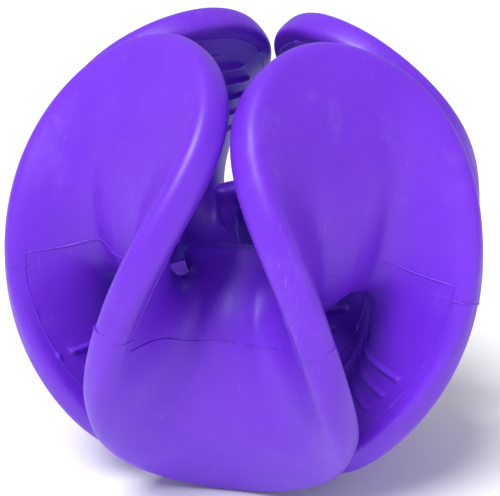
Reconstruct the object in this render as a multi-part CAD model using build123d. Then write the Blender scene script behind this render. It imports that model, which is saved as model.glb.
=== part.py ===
"""Lobed rubber play ball.

One wavy wall rises into four upper lobes and drops into four lower lobes.  The ball is hollow and
open: air runs between the lobes, over the scoops that separate them, and down through the central
hole.  Two kinds of piece make it up: eight webs round the hole, and the lobe that grows out of each.
Pieces meet face to face at the waist seams and at the legs.

Frame: millimetres, +Z up along the ball's axis, origin at the ball's centre.  Azimuth 0 points to
-Y and grows towards +X.  Lower lobes sit at azimuth 0, 90, 180 and 270, upper lobes at 45, 135,
225 and 315.  Phase runs along the wall's wave: 0 is the middle of an upper lobe, pi is the middle
of the next lower lobe, and pi / 2 is the leg between them.
"""
import os
from math import cos, pi, radians, sin

import numpy as np
from build123d import *

# ---------------------------------------------------------------- driving dimensions
BALL_RADIUS = 44.5                  # sphere that the rims of the lobes lie on
RIM_WALL = 6.2                      # wall thickness at the rim
HUB_WALL = 3.6                      # wall thickness at the edge of the central hole
WALL_TAPER = 0.8                    # how early the wall thickens on its way out

RIM_RADIUS = 0.930                  # where the rounded rim starts, as a share of the ball radius
RIM_SWING = radians(25.67)          # how far the rim swings sideways between two lobes
RIM_SWING_SHARP = radians(4.81)     # makes that swing fuller
RIM_RISE = radians(64.53)           # how far the rim climbs above the equator
RIM_RISE_SHARP = radians(3.22)      # makes that climb fuller
FACE_LEAN = 0.84                    # lean of the wall where it meets the rim at a lobe's tip
FACE_REACH = 0.44                   # length of that lean at the tips, in ball radii
LEG_REACH = 0.15                    # the same at the legs between the lobes

HUB_RADIUS = 0.38                   # radius of the central hole's edge, in ball radii
HUB_LIFT = 0.13                     # how far the edge is lifted by each scoop, in ball radii
HUB_SWING = radians(15.0)           # how far the edge swings sideways between two scoops
HUB_SWING_SHARP = radians(2.3)
LIP_RADIUS = 0.455                  # where the wall leaves the hole
LIP_LIFT = -0.01
LIP_SWING = radians(-13.5)
WAIST_RADIUS = 0.755                # how far out the waist of a lobe is drawn
LEG_RADIUS = 0.712                  # the same at the legs
WAIST_LIFT = 0.02
WAIST_SWING = radians(4.3)
SQUARENESS = 0.100                  # how flat the crests of the wave are

SEAM_START = 0.45                   # where the seam crosses a lobe, 0 at the hole, 1 at the rim
SEAM_END = 0.90                     # where the seam reaches the legs
SEAM_POWER = 8.0                    # how long it stays level before it turns along the legs
STILL_START = 0.70                  # from here to SEAM_END a leg's wall stops twisting

LOBE_COUNT = 4                      # lobes above, and as many below
SECTION_COUNT = 25                  # wall sections from one leg, over a lobe, to the next leg
SIDE_POINTS = 9                     # points along each side of a section
ROUND_POINTS = 7                    # points round the rim and round the hole's edge
ROUND_POWER = 2.4                   # 2 gives a half ellipse, larger is squarer


# ---------------------------------------------------------------- the wall's middle surface
def wave(phase):
    """The wave that the wall follows: 1 on an upper lobe, -1 on a lower lobe, 0 on a leg."""
    return (cos(phase) - SQUARENESS * cos(3 * phase)) / (1 - SQUARENESS)


def polar(azimuth, radius, height):
    return np.array([radius * sin(azimuth), -radius * cos(azimuth), height])


def rim_direction(phase):
    """Unit vector from the ball's centre to the rim."""
    azimuth = phase / 4 + RIM_SWING * sin(2 * phase) + RIM_SWING_SHARP * sin(4 * phase)
    latitude = RIM_RISE * cos(phase) + RIM_RISE_SHARP * cos(3 * phase)
    return polar(azimuth, cos(latitude), sin(latitude))


def wall_controls(phase):
    """Control points of the wall's middle line, from the hole to the rim, in ball radii."""
    crest = wave(phase)
    share = crest * crest
    outward = rim_direction(phase)
    step = rim_direction(phase + 1e-5) - rim_direction(phase - 1e-5)
    sideways = np.cross(outward, step / np.linalg.norm(step))
    lean = FACE_LEAN * crest
    leaving = sideways * lean + outward * np.sqrt(1 - lean * lean)
    reach = FACE_REACH * share + LEG_REACH * (1 - share)
    waist_radius = WAIST_RADIUS * share + LEG_RADIUS * (1 - share)
    swing = sin(2 * phase)
    hub_azimuth = phase / 4 + HUB_SWING * swing + HUB_SWING_SHARP * sin(4 * phase)
    rim = outward * RIM_RADIUS
    return [
        polar(hub_azimuth, HUB_RADIUS, -HUB_LIFT * crest),
        polar(phase / 4 + LIP_SWING * swing, LIP_RADIUS, -LIP_LIFT * crest),
        polar(phase / 4 + WAIST_SWING * swing, waist_radius, WAIST_LIFT * crest),
        rim - leaving * reach,
        rim,
    ]


def middle(along, phase):
    """Point on the wall's middle surface; along runs from 0 at the hole to 1 at the rim."""
    back = 1 - along
    weights = [back**4, 4 * along * back**3, 6 * along**2 * back**2, 4 * along**3 * back, along**4]
    controls = wall_controls(phase)
    return BALL_RADIUS * sum(weight * point for weight, point in zip(weights, controls))


def surface_normal(along, phase):
    radial = middle(min(along + 1e-4, 1.0), phase) - middle(max(along - 1e-4, 0.0), phase)
    sidewise = middle(along, phase + 1e-4) - middle(along, phase - 1e-4)
    normal = np.cross(radial, sidewise)
    return normal / np.linalg.norm(normal)


def wall_normal(along, phase):
    """Direction of the wall's thickness; near the end of a leg it stops turning."""
    turn = min(max((along - STILL_START) / (SEAM_END - STILL_START), 0.0), 1.0)
    still = turn * turn * (3 - 2 * turn) * (1 - wave(phase) ** 2) ** 2
    normal = (1 - still) * surface_normal(along, phase) + still * surface_normal(1.0, phase)
    return normal / np.linalg.norm(normal)


def half_wall(along):
    return (HUB_WALL + (RIM_WALL - HUB_WALL) * along**WALL_TAPER) / 2


def side_point(along, phase, side):
    return middle(along, phase) + side * half_wall(along) * wall_normal(along, phase)


def rounded_end(along, phase, first_side):
    """Points round the rim (along = 1) or round the hole's edge (along = 0)."""
    centre = middle(along, phase)
    outward = centre - middle(abs(along - 1e-3), phase)
    outward = outward / np.linalg.norm(outward)
    normal = first_side * wall_normal(along, phase)
    points = []
    for index in range(ROUND_POINTS):
        angle = pi * index / (ROUND_POINTS - 1)
        across = np.sign(cos(angle)) * abs(cos(angle)) ** (2 / ROUND_POWER)
        out = abs(sin(angle)) ** (2 / ROUND_POWER)
        points.append(centre + half_wall(along) * (across * normal + out * outward))
    return points


# ---------------------------------------------------------------- sections and lofts
LEG_AZIMUTH = pi / 8
TURN_OVER = Axis((0, 0, 0), (sin(LEG_AZIMUTH), -cos(LEG_AZIMUTH), 0))


def spread(first, last, count):
    return [first + (last - first) * index / (count - 1) for index in range(count)]


def smooth_edge(points):
    """Spline with evenly spaced parameters, so that neighbouring sections match."""
    return Edge.make_spline([Vector(*point) for point in points], parameters=spread(0, 1, len(points)))


def straight_edge(first, last):
    return Edge.make_line(Vector(*first), Vector(*last))


def seam_station(phase):
    """Where the seam between the web and a lobe crosses the wall."""
    return SEAM_START + (SEAM_END - SEAM_START) * abs(sin(phase)) ** SEAM_POWER


def web_lines(phase):
    """The wall's two sides from the hole to the seam, and the half round between them at the hole."""
    stations = spread(0, seam_station(phase), SIDE_POINTS)
    front = [side_point(along, phase, 1) for along in stations]
    back = [side_point(along, phase, -1) for along in stations]
    return front, back, [back[0], *rounded_end(0.0, phase, -1)[1:-1], front[0]]


def web_section(phase):
    """Closed outline of the wall from the hole to the seam."""
    front, back, hole = web_lines(phase)
    seam = straight_edge(front[-1], back[-1])
    return Wire([smooth_edge(front), seam, smooth_edge(back[::-1]), smooth_edge(hole)])


def lobe_section(phase):
    """Closed outline of the wall from the seam to the rim."""
    seam = seam_station(phase)
    front = [side_point(along, phase, 1) for along in spread(seam, 1, SIDE_POINTS)]
    back = [side_point(along, phase, -1) for along in spread(1, seam, SIDE_POINTS)]
    rim = [front[-1], *rounded_end(1.0, phase, 1)[1:-1], back[0]]
    return Wire([smooth_edge(front), smooth_edge(rim), smooth_edge(back), straight_edge(back[-1], front[0])])


def leg_faces(phase):
    """The two faces that close a web at a leg: across the wall, and across the half round."""
    front, back, hole = web_lines(phase)
    across = Face.make_surface_from_curves(smooth_edge(front), smooth_edge(back))
    half_round = Face(Wire([smooth_edge(hole), straight_edge(hole[-1], hole[0])]))
    return [across, half_round]


PHASES = spread(-pi / 2, pi / 2, SECTION_COUNT)    # one upper lobe, from leg to leg


def make_web():
    """The wall from the hole to the seam of one upper lobe.  Its leg ends are twisted, not flat."""
    sides = Shell.make_loft([web_section(phase) for phase in PHASES]).faces()
    return Solid(Shell([*sides, *leg_faces(PHASES[0]), *leg_faces(PHASES[-1])]))


def make_lobe():
    """The wall from the seam to the rim of one upper lobe."""
    return Solid.make_loft([lobe_section(phase) for phase in PHASES])


# ---------------------------------------------------------------- the ball
os.makedirs("parts", exist_ok=True)
for kind, upper in (("web", make_web()), ("lobe", make_lobe())):
    lower = upper.rotate(TURN_OVER, 180)
    for number in range(LOBE_COUNT):
        turn = 360 / LOBE_COUNT * number
        export_step(Rot(0, 0, turn + 45) * upper, f"parts/upper_{kind}_{number + 1}.step")
        export_step(Rot(0, 0, turn - 45) * lower, f"parts/lower_{kind}_{number + 1}.step")
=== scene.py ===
from math import pi, radians

import bpy
import numpy as np
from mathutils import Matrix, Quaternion, Vector


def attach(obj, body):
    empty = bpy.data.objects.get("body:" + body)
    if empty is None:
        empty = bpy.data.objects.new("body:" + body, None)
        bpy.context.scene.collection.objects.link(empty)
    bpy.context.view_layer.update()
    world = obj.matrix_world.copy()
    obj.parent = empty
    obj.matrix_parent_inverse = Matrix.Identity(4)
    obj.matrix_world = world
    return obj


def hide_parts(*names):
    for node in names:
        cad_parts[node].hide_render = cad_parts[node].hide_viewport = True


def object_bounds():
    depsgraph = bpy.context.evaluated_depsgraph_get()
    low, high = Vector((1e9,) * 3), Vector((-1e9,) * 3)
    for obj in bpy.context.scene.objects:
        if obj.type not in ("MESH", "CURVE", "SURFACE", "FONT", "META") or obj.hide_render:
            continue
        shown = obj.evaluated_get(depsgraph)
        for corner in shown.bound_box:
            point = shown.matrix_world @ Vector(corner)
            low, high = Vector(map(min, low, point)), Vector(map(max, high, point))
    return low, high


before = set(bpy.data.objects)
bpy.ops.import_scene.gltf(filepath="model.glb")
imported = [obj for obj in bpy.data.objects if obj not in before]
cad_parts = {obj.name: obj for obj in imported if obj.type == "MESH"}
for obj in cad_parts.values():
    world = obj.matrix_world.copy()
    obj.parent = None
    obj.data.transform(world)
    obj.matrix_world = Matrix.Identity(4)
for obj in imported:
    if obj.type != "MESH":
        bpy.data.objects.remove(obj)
box_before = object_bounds()

# ---------------------------------------------------------------- the wall, the same as in the CAD
# Lengths are in metres where they say so, and otherwise in ball radii.
R = 0.0445                                      # ball radius, metres
RIM_WALL, HUB_WALL, WALL_TAPER = 0.0062, 0.0036, 0.8                # wall thickness, metres
RIM_RADIUS = 0.930                              # where the rounded rim starts
RIM_SWING, RIM_SWING_SHARP = radians(25.67), radians(4.81)          # rim's way between the lobes
RIM_RISE, RIM_RISE_SHARP = radians(64.53), radians(3.22)            # rim's climb above the equator
FACE_LEAN, FACE_REACH, LEG_REACH = 0.84, 0.44, 0.15                 # how the wall meets the rim
HUB_RADIUS, HUB_LIFT = 0.38, 0.13                                   # edge of the central hole
HUB_SWING, HUB_SWING_SHARP = radians(15.0), radians(2.3)
LIP_RADIUS, LIP_LIFT, LIP_SWING = 0.455, -0.01, radians(-13.5)      # where the wall leaves the hole
WAIST_RADIUS, LEG_RADIUS, WAIST_LIFT, WAIST_SWING = 0.755, 0.712, 0.02, radians(4.3)
SQUARENESS = 0.10                               # how flat the crests of the wave are
STILL_START, STILL_END = 0.70, 0.90             # between these a leg's wall stops twisting
HUB_ROUND, RIM_FACE_ROUND, RIM_INNER_ROUND = 2.4, 2.6, 3.4          # 2 is round, more is squarer

# the seam's height across a face: in the middle, how it bows up, and how it drops to the legs
SEAM_AZIMUTH, SEAM_HEIGHT, SEAM_BOW, SEAM_DROP = radians(18.6), 0.117, 0.087, 0.114
SEAM_LAST, SEAM_FIRST, SEAM_TRIALS = 0.985, 0.2, 600

# level ribs on the lobes' inner sides, metres, and how far they run
RIB_HEIGHT, RIB_HALF_WIDTH = 0.00065, 0.00055
RIB_FIRST, RIB_PITCH, RIB_COUNT = 0.0146, 0.0036, 6
RIB_FROM_SEAM, RIB_NEAR_RIM, RIB_LAST_PHASE = 0.05, 0.945, 1.22
SEAM_FADE, RIM_FADE, LEG_FADE = 0.03, 0.02, 0.04

# raised flash lines left by the mould, metres
FLASH_RADIUS, FLASH_SIDES = 0.00015, 8
RAGGED_BITS, RAGGED_SIZE = 9, 0.0004

COLUMNS, FACE_ROWS, RIB_ROWS, WEB_ROWS, ROUND_ROWS = 281, 70, 240, 80, 18
SHARP_ANGLE = radians(55)
LOBE_COUNT = 4


def wave(phase):
    """1 in the middle of an upper lobe, 0 at the legs."""
    return (np.cos(phase) - SQUARENESS * np.cos(3 * phase)) / (1 - SQUARENESS)


def polar(azimuth, radius, height):
    azimuth, radius, height = np.broadcast_arrays(azimuth, radius, height)
    return np.stack([radius * np.sin(azimuth), -radius * np.cos(azimuth), height], -1)


def unit(vectors):
    return vectors / np.linalg.norm(vectors, axis=-1, keepdims=True)


def rim_direction(phase):
    azimuth = phase / 4 + RIM_SWING * np.sin(2 * phase) + RIM_SWING_SHARP * np.sin(4 * phase)
    latitude = RIM_RISE * np.cos(phase) + RIM_RISE_SHARP * np.cos(3 * phase)
    return polar(azimuth, np.cos(latitude), np.sin(latitude))


def middle(along, phase):
    """The wall's middle surface: along 0 at the hole, 1 at the rim; phase 0 on an upper lobe."""
    crest = wave(phase)
    share = crest * crest
    outward = rim_direction(phase)
    sideways = np.cross(outward, unit(rim_direction(phase + 1e-5) - rim_direction(phase - 1e-5)))
    lean = (FACE_LEAN * crest)[..., None]
    leaving = sideways * lean + outward * np.sqrt(1 - lean * lean)
    reach = (FACE_REACH * share + LEG_REACH * (1 - share))[..., None]
    waist_radius = WAIST_RADIUS * share + LEG_RADIUS * (1 - share)
    swing = np.sin(2 * phase)
    hub_azimuth = phase / 4 + HUB_SWING * swing + HUB_SWING_SHARP * np.sin(4 * phase)
    rim = outward * RIM_RADIUS
    controls = [
        polar(hub_azimuth, HUB_RADIUS, -HUB_LIFT * crest),
        polar(phase / 4 + LIP_SWING * swing, LIP_RADIUS, -LIP_LIFT * crest),
        polar(phase / 4 + WAIST_SWING * swing, waist_radius, WAIST_LIFT * crest),
        rim - leaving * reach,
        rim,
    ]
    back = 1 - along
    weights = [back**4, 4 * along * back**3, 6 * along**2 * back**2, 4 * along**3 * back, along**4]
    return R * sum(weight[..., None] * point for weight, point in zip(weights, controls))


def surface_normal(along, phase):
    radial = middle(np.minimum(along + 1e-4, 1), phase) - middle(np.maximum(along - 1e-4, 0), phase)
    sidewise = middle(along, phase + 1e-4) - middle(along, phase - 1e-4)
    return unit(np.cross(radial, sidewise))


def wall_normal(along, phase):
    """Direction of the wall's thickness; near the end of a leg it stops turning."""
    turn = np.clip((along - STILL_START) / (STILL_END - STILL_START), 0, 1)
    still = (turn * turn * (3 - 2 * turn) * (1 - wave(phase) ** 2) ** 2)[..., None]
    at_rim = surface_normal(np.ones_like(along), phase)
    return unit((1 - still) * surface_normal(along, phase) + still * at_rim)


def half_wall(along):
    """Half of the wall's thickness, in metres."""
    return (HUB_WALL + (RIM_WALL - HUB_WALL) * along**WALL_TAPER) / 2


def side_point(along, phase, side, lift=0.0):
    """Point on one side of the wall, raised by lift."""
    depth = half_wall(along) + lift
    return middle(along, phase) + side * depth[..., None] * wall_normal(along, phase)


# which side of the wall is an upper lobe's outer face
FACE = 1 if surface_normal(np.array([0.7]), np.array([0.0]))[0, 1] < 0 else -1


def seam_station(phase):
    """Where the seam crosses the wall: nearly level across a face, and at the rim on the legs."""
    trials = np.linspace(SEAM_LAST, SEAM_FIRST, SEAM_TRIALS)
    along, wide = np.broadcast_arrays(trials[:, None], phase)
    points = side_point(along, wide, FACE)
    share = np.abs(np.arctan2(points[..., 0], -points[..., 1])) / SEAM_AZIMUTH
    above = points[..., 2] - R * (SEAM_HEIGHT + SEAM_BOW * share**2 - SEAM_DROP * share**4)
    return trials[np.argmax(above < 0, axis=0)]


def smooth(x):
    """0 below 0, 1 above 1 and an even slope between."""
    x = np.clip(x, 0, 1)
    return x * x * (3 - 2 * x)


def rib_lift(along, phase, seam):
    """Height of the level ribs on the inner side of an upper lobe."""
    height = side_point(along, phase, -FACE)[..., 2]
    offset = (height - RIB_FIRST) / RIB_PITCH
    nearest = np.clip(np.round(offset), 0, RIB_COUNT - 1)
    across = np.abs(offset - nearest) * RIB_PITCH / RIB_HALF_WIDTH
    ends = smooth((RIB_NEAR_RIM - along) / RIM_FADE) * smooth((along - seam - RIB_FROM_SEAM) / SEAM_FADE)
    sides = smooth((RIB_LAST_PHASE - np.abs(phase)) / LEG_FADE)
    return RIB_HEIGHT * smooth(1 - across**2) * ends * sides


def rounded(angle, power):
    """Across and out shares of a rounded edge, from one side of the wall (0) to the other (pi)."""
    across = np.sign(np.cos(angle)) * np.abs(np.cos(angle)) ** (2 / power)
    return across[..., None], (np.abs(np.sin(angle)) ** (2 / power))[..., None]


def rim_round(phase):
    """Rows over the rim: softer on the face side, tighter on the inner side."""
    angle = np.linspace(0, pi, ROUND_ROWS)[:, None]
    ones = np.ones_like(phase)
    centre, normal = middle(ones, phase), FACE * wall_normal(ones, phase)
    outward = unit(centre - middle(ones * 0.999, phase))
    across, out = rounded(angle, np.where(angle < pi / 2, RIM_FACE_ROUND, RIM_INNER_ROUND))
    return centre[None] + half_wall(1.0) * (across * normal[None] + out * outward[None])


def hub_round(phase):
    """Rows over the edge of the central hole, from the inner side to the face side."""
    angle = np.linspace(0, pi, ROUND_ROWS)[:, None]
    zeros = np.zeros_like(phase)
    centre, normal = middle(zeros, phase), -FACE * wall_normal(zeros, phase)
    outward = unit(centre - middle(zeros + 0.001, phase))
    across, out = rounded(angle, HUB_ROUND)
    return centre[None] + half_wall(0.0) * (across * normal[None] + out * outward[None])


# ---------------------------------------------------------------- meshes
def turned(points, azimuth, flipped):
    """An upper piece at azimuth 0, turned over about the leg beside it if asked, then about Z."""
    if flipped:
        axis = np.array([np.sin(pi / 8), -np.cos(pi / 8), 0])
        points = 2 * (points @ axis)[..., None] * axis - points
        azimuth = azimuth - 45
    c, s = np.cos(radians(azimuth)), np.sin(radians(azimuth))
    return points @ np.array([[c, s, 0], [-s, c, 0], [0, 0, 1]])


def ring_mesh(name, rings):
    """Closed mesh from a grid of points: rows go round the wall's section, columns along the wave."""
    rows, columns = rings.shape[:2]
    here = np.arange(rows)[:, None] * columns + np.arange(columns - 1)
    there = np.roll(np.arange(rows), -1)[:, None] * columns + np.arange(columns - 1)
    quads = np.stack([here, here + 1, there + 1, there], -1).reshape(-1, 4).tolist()
    first = (np.arange(rows) * columns).tolist()
    last = (np.arange(rows) * columns + columns - 1).tolist()
    for end in (first, last[::-1]):
        for step in range(rows // 2 - 1):
            quads.append([end[step], end[rows - 1 - step], end[rows - 2 - step], end[step + 1]])
    mesh = bpy.data.meshes.new(name)
    mesh.from_pydata(rings.reshape(-1, 3).tolist(), [], quads)
    mesh.validate()
    mesh.polygons.foreach_set("use_smooth", [True] * len(mesh.polygons))
    mesh.set_sharp_from_angle(angle=SHARP_ANGLE)
    piece = bpy.data.objects.new(name, mesh)
    bpy.context.scene.collection.objects.link(piece)
    return piece


def lobe_rings(phase, seam):
    """From the seam up the face, over the rim and down the ribbed inner side to the seam."""
    up, wide = np.broadcast_arrays(seam + (1 - seam) * np.linspace(0, 1, FACE_ROWS)[:, None], phase)
    down, deep = np.broadcast_arrays(seam + (1 - seam) * np.linspace(1, 0, RIB_ROWS)[:, None], phase)
    face = side_point(up, wide, FACE)
    inner = side_point(down, deep, -FACE, rib_lift(down, deep, seam))
    return np.concatenate([face, rim_round(phase)[1:-1], inner])


def web_rings(phase, seam):
    """From the hole out to the seam on the face side, back on the inner side and round the edge."""
    along, wide = np.broadcast_arrays(seam * np.linspace(0, 1, WEB_ROWS)[:, None], phase)
    face = side_point(along, wide, FACE)
    inner = side_point(along, wide, -FACE)[::-1]
    return np.concatenate([face, inner, hub_round(phase)[1:-1]])


rng = np.random.default_rng(7)


def uneven(count, base, spread, bits=0, bit_size=0.0):
    """Radius of a flash bead: wavering, with a few ragged bits."""
    noise = np.convolve(rng.normal(size=count), np.ones(5) / 5, mode="same")
    radius = base * (1 + spread * np.clip(noise, -0.8, 2.5))
    place = np.arange(count)
    for centre in rng.uniform(0.08, 0.92, bits) * count:
        width = rng.uniform(0.6, 1.6)
        radius += bit_size * rng.uniform(0.4, 1) * np.exp(-(((place - centre) / width) ** 2))
    return radius


def bead(name, path, radius):
    """Fine raised line of rubber along a path."""
    tangent = unit(np.gradient(path, axis=0))
    side = unit(np.cross(tangent, unit(path)))
    up = np.cross(side, tangent)
    rings = []
    for angle in np.linspace(0, 2 * pi, FLASH_SIDES + 1)[:-1]:
        rings.append(path + radius[:, None] * (np.cos(angle) * side + np.sin(angle) * up))
    return ring_mesh(name, np.array(rings))


# ---------------------------------------------------------------- materials
VIOLET, DEEP_VIOLET, BRIGHT_VIOLET = (0.135, 0.019, 0.60, 1), (0.128, 0.017, 0.57, 1), (0.150, 0.022, 0.65, 1)
BLOOM, SCRATCHED = (0.45, 0.30, 0.80, 1), (0.50, 0.32, 0.85, 1)
BLACK, WHITE, MOST_BLOOM, MOST_SCRATCH = (0, 0, 0, 1), (1, 1, 1, 1), (0.16, 0.16, 0.16, 1), 0.22
CLOUD_SCALE, BLOOM_SCALE, GLOSS_SCALE, GRAIN_SCALE = 60, 140, 90, 1500
SCRATCH_SCALE, SCRATCH_TURN = (2600, 2200, 60), (0.5, 0.3, 0.0)
SMOOTHEST, ROUGHEST, MIDDLE_ROUGHNESS, SHEEN_LEVEL = 0.34, 0.52, 0.42, 0.42
GRAIN_STRENGTH, SCRATCH_STRENGTH, BUMP_DEPTH = 0.12, 0.10, 0.0002


def ramp(nodes, low, high, first, last):
    """A colour or grey ramp between two places."""
    node = nodes.new("ShaderNodeValToRGB")
    start, end = node.color_ramp.elements
    start.position, start.color = low, first
    end.position, end.color = high, last
    return node


def noise(nodes, links, vector, scale, detail, roughness=0.5):
    """Output of a noise texture at a place."""
    node = nodes.new("ShaderNodeTexNoise")
    node.inputs["Scale"].default_value = scale
    node.inputs["Detail"].default_value = detail
    node.inputs["Roughness"].default_value = roughness
    links.new(vector, node.inputs["Vector"])
    return node.outputs["Fac"]


def mixed(nodes, links, factor, first, second):
    """A linked colour, part of the way towards a plain one."""
    node = nodes.new("ShaderNodeMix")
    node.data_type = "RGBA"
    links.new(factor, node.inputs["Factor"])
    links.new(first, node.inputs["A"])
    node.inputs["B"].default_value = second
    return node.outputs["Result"]


def bump(nodes, links, height, strength):
    """Bump node for a height."""
    node = nodes.new("ShaderNodeBump")
    node.inputs["Strength"].default_value = strength
    node.inputs["Distance"].default_value = BUMP_DEPTH
    links.new(height, node.inputs["Height"])
    return node


def scratches(nodes, links, place):
    """Fine straight marks: noise drawn out along one direction, kept only at its peaks."""
    stretch = nodes.new("ShaderNodeMapping")
    stretch.inputs["Rotation"].default_value = SCRATCH_TURN
    stretch.inputs["Scale"].default_value = SCRATCH_SCALE
    links.new(place, stretch.inputs["Vector"])
    marks = ramp(nodes, 0.70, 0.78, BLACK, WHITE)
    links.new(noise(nodes, links, stretch.outputs["Vector"], 1.0, 2), marks.inputs["Fac"])
    return marks.outputs["Color"]


def violet_rubber():
    """Satin violet rubber with mottling, pale bloom, fine scratches and a dry moulded grain."""
    material = bpy.data.materials.new("violet_rubber")
    material.use_nodes = True
    nodes, links = material.node_tree.nodes, material.node_tree.links
    shader = nodes["Principled BSDF"]
    shader.inputs["Base Color"].default_value = VIOLET
    shader.inputs["Roughness"].default_value = MIDDLE_ROUGHNESS
    shader.inputs["Specular IOR Level"].default_value = SHEEN_LEVEL
    place = nodes.new("ShaderNodeTexCoord").outputs["Object"]

    tint = ramp(nodes, 0.3, 0.75, DEEP_VIOLET, BRIGHT_VIOLET)
    links.new(noise(nodes, links, place, CLOUD_SCALE, 6, 0.6), tint.inputs["Fac"])
    bloom = ramp(nodes, 0.56, 0.90, BLACK, MOST_BLOOM)
    links.new(noise(nodes, links, place, BLOOM_SCALE, 8, 0.7), bloom.inputs["Fac"])
    colour = mixed(nodes, links, bloom.outputs["Color"], tint.outputs["Color"], BLOOM)
    marks = scratches(nodes, links, place)
    faint = nodes.new("ShaderNodeMath")
    faint.operation = "MULTIPLY"
    faint.inputs[1].default_value = MOST_SCRATCH
    links.new(marks, faint.inputs[0])
    colour = mixed(nodes, links, faint.outputs[0], colour, SCRATCHED)
    links.new(colour, shader.inputs["Base Color"])

    gloss = nodes.new("ShaderNodeMapRange")
    gloss.inputs["From Min"].default_value = 0.3
    gloss.inputs["From Max"].default_value = 0.7
    gloss.inputs["To Min"].default_value = SMOOTHEST
    gloss.inputs["To Max"].default_value = ROUGHEST
    links.new(noise(nodes, links, place, GLOSS_SCALE, 5, 0.65), gloss.inputs["Value"])
    links.new(gloss.outputs["Result"], shader.inputs["Roughness"])

    grain = bump(nodes, links, noise(nodes, links, place, GRAIN_SCALE, 4), GRAIN_STRENGTH)
    cut = bump(nodes, links, marks, SCRATCH_STRENGTH)
    cut.invert = True
    links.new(grain.outputs["Normal"], cut.inputs["Normal"])
    links.new(cut.outputs["Normal"], shader.inputs["Normal"])
    return material


def plain(name, colour, roughness):
    material = bpy.data.materials.new(name)
    material.use_nodes = True
    shader = material.node_tree.nodes["Principled BSDF"]
    shader.inputs["Base Color"].default_value = colour
    shader.inputs["Roughness"].default_value = roughness
    return material


# ---------------------------------------------------------------- the ball
rubber = violet_rubber()
columns = np.linspace(-pi / 2, pi / 2, COLUMNS)
seam = seam_station(columns)
waist = side_point(seam, columns, FACE)
edge = side_point(np.ones_like(columns), columns, -FACE)
crossing = rim_round(np.array([pi / 2]))[:, 0]
pieces = []
for number in range(1, LOBE_COUNT + 1):
    turn = 360 / LOBE_COUNT * (number - 1)
    for half, azimuth, flipped in (("upper", turn + 45, False), ("lower", turn, True)):
        for kind, rings in (("web", web_rings(columns, seam)), ("lobe", lobe_rings(columns, seam))):
            node = f"{half}_{kind}_{number}"
            skin = ring_mesh(node + "_skin", turned(rings, azimuth, flipped))
            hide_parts(node)
            pieces.append(skin)
        for kind, path, radius in (
            ("waist", waist, uneven(COLUMNS, FLASH_RADIUS, 0.5)),
            ("rim", edge, uneven(COLUMNS, FLASH_RADIUS, 0.8, RAGGED_BITS, RAGGED_SIZE)),
            ("leg", crossing, uneven(ROUND_ROWS, FLASH_RADIUS, 0.4)),
        ):
            pieces.append(bead(f"{half}_{kind}_flash_{number}", turned(path, azimuth, flipped), radius))

for piece in pieces:
    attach(piece, "root")
    piece.data.materials.clear()
    piece.data.materials.append(rubber)

# ---------------------------------------------------------------- floor, light, camera
FLOOR_HALF, PALE, FLOOR_ROUGHNESS = 3.0, (0.92, 0.92, 0.92, 1), 0.6
floor_mesh = bpy.data.meshes.new("floor")
quarters = ((-1, -1), (1, -1), (1, 1), (-1, 1))
corners = [(x * FLOOR_HALF, y * FLOOR_HALF, box_before[0][2]) for x, y in quarters]
floor_mesh.from_pydata(corners, [], [(0, 1, 2, 3)])
floor = bpy.data.objects.new("floor", floor_mesh)
bpy.context.scene.collection.objects.link(floor)
floor.data.materials.append(plain("pale_floor", PALE, FLOOR_ROUGHNESS))

SKY_STRENGTH, KEY_STRENGTH, FILL_POWER = 0.50, 3.3, 0.8
KEY_PLACE, KEY_SPREAD = (-0.30, -0.50, 0.95), radians(28)
FILL_PLACE, FILL_SIZE = (0.7, -0.6, 0.25), 0.6
scene = bpy.context.scene
scene.view_settings.view_transform = "Standard"
scene.world = bpy.data.worlds.new("studio")
scene.world.use_nodes = True
sky = scene.world.node_tree.nodes["Background"]
sky.inputs["Color"].default_value = WHITE
sky.inputs["Strength"].default_value = SKY_STRENGTH


def lamp(kind, name, place, power):
    """Light at a place, aimed at the ball."""
    light = bpy.data.lights.new(name, kind)
    light.energy = power
    holder = bpy.data.objects.new(name, light)
    holder.location = place
    holder.rotation_euler = (-Vector(place)).to_track_quat("-Z", "Y").to_euler()
    scene.collection.objects.link(holder)
    return light


key = lamp("SUN", "key", KEY_PLACE, KEY_STRENGTH)
key.angle = KEY_SPREAD
fill = lamp("AREA", "fill", FILL_PLACE, FILL_POWER)
fill.shape, fill.size = "DISK", FILL_SIZE

ELEVATION, AZIMUTH, ROLL = radians(22.4), radians(7.67), radians(1.42)
DISTANCE = 5.236                                # in ball radii
BALL_IN_PICTURE = 0.4818                        # ball radius as a share of the picture's width
SENSOR_WIDTH, NEAREST = 36, 0.01
camera_data = bpy.data.cameras.new("camera")
camera_data.sensor_width = SENSOR_WIDTH
camera_data.lens = BALL_IN_PICTURE * DISTANCE * SENSOR_WIDTH
camera_data.clip_start = NEAREST
camera_data.shift_x, camera_data.shift_y = 0.0012, 0.0008
camera = bpy.data.objects.new("camera", camera_data)
scene.collection.objects.link(camera)
level = np.cos(ELEVATION)
toward = Vector((level * np.sin(AZIMUTH), -level * np.cos(AZIMUTH), np.sin(ELEVATION)))
camera.location = toward * DISTANCE * R
camera.rotation_mode = "QUATERNION"
camera.rotation_quaternion = (-toward).to_track_quat("-Z", "Y") @ Quaternion((0, 0, 1), ROLL)
scene.camera = camera
